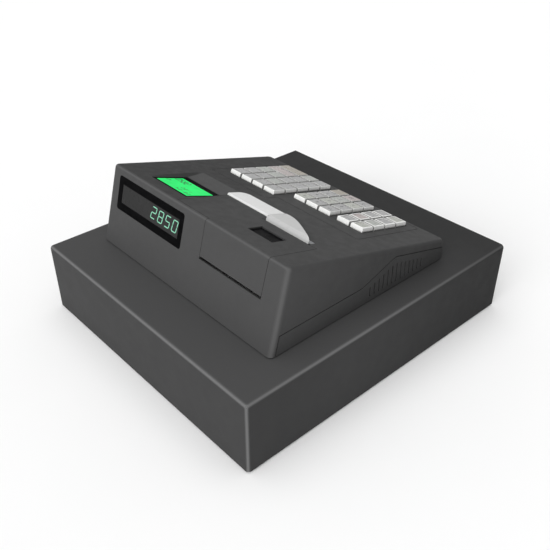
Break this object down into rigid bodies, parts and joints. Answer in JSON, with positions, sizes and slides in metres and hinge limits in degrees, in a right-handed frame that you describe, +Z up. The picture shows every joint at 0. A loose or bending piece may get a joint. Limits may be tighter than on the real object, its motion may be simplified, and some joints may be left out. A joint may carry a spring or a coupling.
{
  "type": "cash register on cash drawer",
  "caption": "Low wedge-shaped ticket register with keyboard, two displays and a paper printer, standing on a wide cash drawer.",
  "frame": {"origin": "on the floor under the middle of the cash drawer", "axes": "+Z up, -Y towards the operator and the way the drawer opens, +Y towards the customer, +X to the operator's right"},
  "size_m": [0.34, 0.375, 0.169],
  "materials": {
    "cabinet_paint": "fine textured dark grey powder coat",
    "foot_rubber": "soft black rubber",
    "tray_steel": "zinc-plated sheet",
    "lock_metal": "bright plated lock",
    "insert_plastic": "moulded black plastic",
    "clip_plastic": "moulded dark grey plastic",
    "hook_steel": "stamped steel",
    "solenoid_case": "lacquered steel can",
    "case_plastic": "fine-grained dark grey plastic",
    "board_green": "green lacquered circuit board",
    "display_black": "glossy black display filter",
    "printer_steel": "stamped steel frame",
    "platen_rubber": "ground black rubber",
    "receipt_paper": "white till-roll paper",
    "key_plastic": "satin warm grey key caps"
  },
  "bodies": {
    "register": {"drawer_housing": "cabinet_paint", "rubber_feet": "foot_rubber", "latch_solenoid": "solenoid_case", "lower_case": "case_plastic", "upper_case": "case_plastic", "keyboard_bezel": "case_plastic", "main_board": "board_green", "display_modules": "display_black", "printer_frame": "printer_steel", "paper_strips": "receipt_paper"},
    "drawer": {"drawer_tray": "tray_steel", "drawer_front": "cabinet_paint", "till_insert": "insert_plastic", "latch_striker": "tray_steel"},
    "lock": {"drawer_lock": "lock_metal"},
    "clip_1": {"note_clip_1": "clip_plastic"},
    "clip_2": {"note_clip_2": "clip_plastic"},
    "clip_3": {"note_clip_3": "clip_plastic"},
    "latch": {"latch_hook": "hook_steel"},
    "cover": {"printer_cover": "case_plastic"},
    "platen": {"platen_roller": "platen_rubber"},
    "rolls": {"paper_rolls": "receipt_paper"},
    "button_department_1": {"key_department_1": "key_plastic"},
    "button_department_2": {"key_department_2": "key_plastic"},
    "button_department_3": {"key_department_3": "key_plastic"},
    "button_department_4": {"key_department_4": "key_plastic"},
    "button_department_5": {"key_department_5": "key_plastic"},
    "button_department_6": {"key_department_6": "key_plastic"},
    "button_department_7": {"key_department_7": "key_plastic"},
    "button_department_8": {"key_department_8": "key_plastic"},
    "button_number_7": {"key_number_7": "key_plastic"},
    "button_number_8": {"key_number_8": "key_plastic"},
    "button_number_9": {"key_number_9": "key_plastic"},
    "button_number_4": {"key_number_4": "key_plastic"},
    "button_number_5": {"key_number_5": "key_plastic"},
    "button_number_6": {"key_number_6": "key_plastic"},
    "button_number_1": {"key_number_1": "key_plastic"},
    "button_number_2": {"key_number_2": "key_plastic"},
    "button_number_3": {"key_number_3": "key_plastic"},
    "button_number_0": {"key_number_0": "key_plastic"},
    "button_double_zero": {"key_double_zero": "key_plastic"},
    "button_point": {"key_point": "key_plastic"},
    "button_function_1": {"key_function_1": "key_plastic"},
    "button_function_2": {"key_function_2": "key_plastic"},
    "button_function_3": {"key_function_3": "key_plastic"},
    "button_function_4": {"key_function_4": "key_plastic"},
    "button_function_5": {"key_function_5": "key_plastic"},
    "button_function_6": {"key_function_6": "key_plastic"},
    "button_function_7": {"key_function_7": "key_plastic"},
    "button_function_8": {"key_function_8": "key_plastic"},
    "button_function_9": {"key_function_9": "key_plastic"},
    "button_function_10": {"key_function_10": "key_plastic"},
    "button_function_11": {"key_function_11": "key_plastic"},
    "button_function_12": {"key_function_12": "key_plastic"},
    "button_function_13": {"key_function_13": "key_plastic"},
    "button_function_14": {"key_function_14": "key_plastic"},
    "button_function_15": {"key_function_15": "key_plastic"},
    "button_function_16": {"key_function_16": "key_plastic"},
    "button_subtotal": {"key_subtotal": "key_plastic"},
    "button_total": {"key_total": "key_plastic"}
  },
  "joints": [
    {"name": "drawer_slide", "type": "slide", "parent": "register", "child": "drawer", "axis": [0, -1, 0], "range_m": [0, 0.26]},
    {"name": "lock_turn", "type": "hinge", "parent": "drawer", "child": "lock", "pos_m": [0, -0.18, 0.058], "axis": [0, -1, 0], "range_deg": [0, 90]},
    {"name": "latch_lift", "type": "hinge", "parent": "register", "child": "latch", "pos_m": [0, 0.1765, 0.0258], "axis": [-1, 0, 0], "range_deg": [0, 12]},
    {"name": "cover_lift", "type": "slide", "parent": "register", "child": "cover", "axis": [0, -0.2672, 0.9636], "range_m": [0, 0.06]},
    {"name": "rolls_turn", "type": "hinge", "parent": "register", "child": "rolls", "pos_m": [0, 0.08, 0.116], "axis": [-1, 0, 0], "continuous": true},
    {"name": "platen_turn", "type": "hinge", "parent": "register", "child": "platen", "pos_m": [0, 0.06192, 0.14166], "axis": [-1, 0, 0], "continuous": true},
    {"name": "clip_1_lift", "type": "hinge", "parent": "drawer", "child": "clip_1", "pos_m": [-0.1033, 0.129, 0.0587], "axis": [-1, 0, 0], "range_deg": [0, 50], "stiffness_Nm_per_rad": 0.05, "springref_deg": -22.92},
    {"name": "clip_2_lift", "type": "hinge", "parent": "drawer", "child": "clip_2", "pos_m": [0, 0.129, 0.0587], "axis": [-1, 0, 0], "range_deg": [0, 50], "stiffness_Nm_per_rad": 0.05, "springref_deg": -22.92},
    {"name": "clip_3_lift", "type": "hinge", "parent": "drawer", "child": "clip_3", "pos_m": [0.1033, 0.129, 0.0587], "axis": [-1, 0, 0], "range_deg": [0, 50], "stiffness_Nm_per_rad": 0.05, "springref_deg": -22.92},
    {"name": "department_1_press", "type": "slide", "parent": "register", "child": "button_department_1", "axis": [0, 0.2672, -0.9636], "range_m": [0, 0.003], "stiffness_N_per_m": 200, "springref_m": -0.0015},
    {"name": "department_2_press", "type": "slide", "parent": "register", "child": "button_department_2", "axis": [0, 0.2672, -0.9636], "range_m": [0, 0.003], "stiffness_N_per_m": 200, "springref_m": -0.0015},
    {"name": "department_3_press", "type": "slide", "parent": "register", "child": "button_department_3", "axis": [0, 0.2672, -0.9636], "range_m": [0, 0.003], "stiffness_N_per_m": 200, "springref_m": -0.0015},
    {"name": "department_4_press", "type": "slide", "parent": "register", "child": "button_department_4", "axis": [0, 0.2672, -0.9636], "range_m": [0, 0.003], "stiffness_N_per_m": 200, "springref_m": -0.0015},
    {"name": "department_5_press", "type": "slide", "parent": "register", "child": "button_department_5", "axis": [0, 0.2672, -0.9636], "range_m": [0, 0.003], "stiffness_N_per_m": 200, "springref_m": -0.0015},
    {"name": "department_6_press", "type": "slide", "parent": "register", "child": "button_department_6", "axis": [0, 0.2672, -0.9636], "range_m": [0, 0.003], "stiffness_N_per_m": 200, "springref_m": -0.0015},
    {"name": "department_7_press", "type": "slide", "parent": "register", "child": "button_department_7", "axis": [0, 0.2672, -0.9636], "range_m": [0, 0.003], "stiffness_N_per_m": 200, "springref_m": -0.0015},
    {"name": "department_8_press", "type": "slide", "parent": "register", "child": "button_department_8", "axis": [0, 0.2672, -0.9636], "range_m": [0, 0.003], "stiffness_N_per_m": 200, "springref_m": -0.0015},
    {"name": "number_7_press", "type": "slide", "parent": "register", "child": "button_number_7", "axis": [0, 0.2672, -0.9636], "range_m": [0, 0.003], "stiffness_N_per_m": 200, "springref_m": -0.0015},
    {"name": "number_8_press", "type": "slide", "parent": "register", "child": "button_number_8", "axis": [0, 0.2672, -0.9636], "range_m": [0, 0.003], "stiffness_N_per_m": 200, "springref_m": -0.0015},
    {"name": "number_9_press", "type": "slide", "parent": "register", "child": "button_number_9", "axis": [0, 0.2672, -0.9636], "range_m": [0, 0.003], "stiffness_N_per_m": 200, "springref_m": -0.0015},
    {"name": "number_4_press", "type": "slide", "parent": "register", "child": "button_number_4", "axis": [0, 0.2672, -0.9636], "range_m": [0, 0.003], "stiffness_N_per_m": 200, "springref_m": -0.0015},
    {"name": "number_5_press", "type": "slide", "parent": "register", "child": "button_number_5", "axis": [0, 0.2672, -0.9636], "range_m": [0, 0.003], "stiffness_N_per_m": 200, "springref_m": -0.0015},
    {"name": "number_6_press", "type": "slide", "parent": "register", "child": "button_number_6", "axis": [0, 0.2672, -0.9636], "range_m": [0, 0.003], "stiffness_N_per_m": 200, "springref_m": -0.0015},
    {"name": "number_1_press", "type": "slide", "parent": "register", "child": "button_number_1", "axis": [0, 0.2672, -0.9636], "range_m": [0, 0.003], "stiffness_N_per_m": 200, "springref_m": -0.0015},
    {"name": "number_2_press", "type": "slide", "parent": "register", "child": "button_number_2", "axis": [0, 0.2672, -0.9636], "range_m": [0, 0.003], "stiffness_N_per_m": 200, "springref_m": -0.0015},
    {"name": "number_3_press", "type": "slide", "parent": "register", "child": "button_number_3", "axis": [0, 0.2672, -0.9636], "range_m": [0, 0.003], "stiffness_N_per_m": 200, "springref_m": -0.0015},
    {"name": "number_0_press", "type": "slide", "parent": "register", "child": "button_number_0", "axis": [0, 0.2672, -0.9636], "range_m": [0, 0.003], "stiffness_N_per_m": 200, "springref_m": -0.0015},
    {"name": "double_zero_press", "type": "slide", "parent": "register", "child": "button_double_zero", "axis": [0, 0.2672, -0.9636], "range_m": [0, 0.003], "stiffness_N_per_m": 200, "springref_m": -0.0015},
    {"name": "point_press", "type": "slide", "parent": "register", "child": "button_point", "axis": [0, 0.2672, -0.9636], "range_m": [0, 0.003], "stiffness_N_per_m": 200, "springref_m": -0.0015},
    {"name": "function_1_press", "type": "slide", "parent": "register", "child": "button_function_1", "axis": [0, 0.2672, -0.9636], "range_m": [0, 0.003], "stiffness_N_per_m": 200, "springref_m": -0.0015},
    {"name": "function_2_press", "type": "slide", "parent": "register", "child": "button_function_2", "axis": [0, 0.2672, -0.9636], "range_m": [0, 0.003], "stiffness_N_per_m": 200, "springref_m": -0.0015},
    {"name": "function_3_press", "type": "slide", "parent": "register", "child": "button_function_3", "axis": [0, 0.2672, -0.9636], "range_m": [0, 0.003], "stiffness_N_per_m": 200, "springref_m": -0.0015},
    {"name": "function_4_press", "type": "slide", "parent": "register", "child": "button_function_4", "axis": [0, 0.2672, -0.9636], "range_m": [0, 0.003], "stiffness_N_per_m": 200, "springref_m": -0.0015},
    {"name": "function_5_press", "type": "slide", "parent": "register", "child": "button_function_5", "axis": [0, 0.2672, -0.9636], "range_m": [0, 0.003], "stiffness_N_per_m": 200, "springref_m": -0.0015},
    {"name": "function_6_press", "type": "slide", "parent": "register", "child": "button_function_6", "axis": [0, 0.2672, -0.9636], "range_m": [0, 0.003], "stiffness_N_per_m": 200, "springref_m": -0.0015},
    {"name": "function_7_press", "type": "slide", "parent": "register", "child": "button_function_7", "axis": [0, 0.2672, -0.9636], "range_m": [0, 0.003], "stiffness_N_per_m": 200, "springref_m": -0.0015},
    {"name": "function_8_press", "type": "slide", "parent": "register", "child": "button_function_8", "axis": [0, 0.2672, -0.9636], "range_m": [0, 0.003], "stiffness_N_per_m": 200, "springref_m": -0.0015},
    {"name": "function_9_press", "type": "slide", "parent": "register", "child": "button_function_9", "axis": [0, 0.2672, -0.9636], "range_m": [0, 0.003], "stiffness_N_per_m": 200, "springref_m": -0.0015},
    {"name": "function_10_press", "type": "slide", "parent": "register", "child": "button_function_10", "axis": [0, 0.2672, -0.9636], "range_m": [0, 0.003], "stiffness_N_per_m": 200, "springref_m": -0.0015},
    {"name": "function_11_press", "type": "slide", "parent": "register", "child": "button_function_11", "axis": [0, 0.2672, -0.9636], "range_m": [0, 0.003], "stiffness_N_per_m": 200, "springref_m": -0.0015},
    {"name": "function_12_press", "type": "slide", "parent": "register", "child": "button_function_12", "axis": [0, 0.2672, -0.9636], "range_m": [0, 0.003], "stiffness_N_per_m": 200, "springref_m": -0.0015},
    {"name": "function_13_press", "type": "slide", "parent": "register", "child": "button_function_13", "axis": [0, 0.2672, -0.9636], "range_m": [0, 0.003], "stiffness_N_per_m": 200, "springref_m": -0.0015},
    {"name": "function_14_press", "type": "slide", "parent": "register", "child": "button_function_14", "axis": [0, 0.2672, -0.9636], "range_m": [0, 0.003], "stiffness_N_per_m": 200, "springref_m": -0.0015},
    {"name": "function_15_press", "type": "slide", "parent": "register", "child": "button_function_15", "axis": [0, 0.2672, -0.9636], "range_m": [0, 0.003], "stiffness_N_per_m": 200, "springref_m": -0.0015},
    {"name": "function_16_press", "type": "slide", "parent": "register", "child": "button_function_16", "axis": [0, 0.2672, -0.9636], "range_m": [0, 0.003], "stiffness_N_per_m": 200, "springref_m": -0.0015},
    {"name": "subtotal_press", "type": "slide", "parent": "register", "child": "button_subtotal", "axis": [0, 0.2672, -0.9636], "range_m": [0, 0.003], "stiffness_N_per_m": 200, "springref_m": -0.0015},
    {"name": "total_press", "type": "slide", "parent": "register", "child": "button_total", "axis": [0, 0.2672, -0.9636], "range_m": [0, 0.003], "stiffness_N_per_m": 200, "springref_m": -0.0015}
  ],
  "couplings": [
    {"joint": "platen_turn", "follows": "rolls_turn", "ratio": 3.8333}
  ]
}
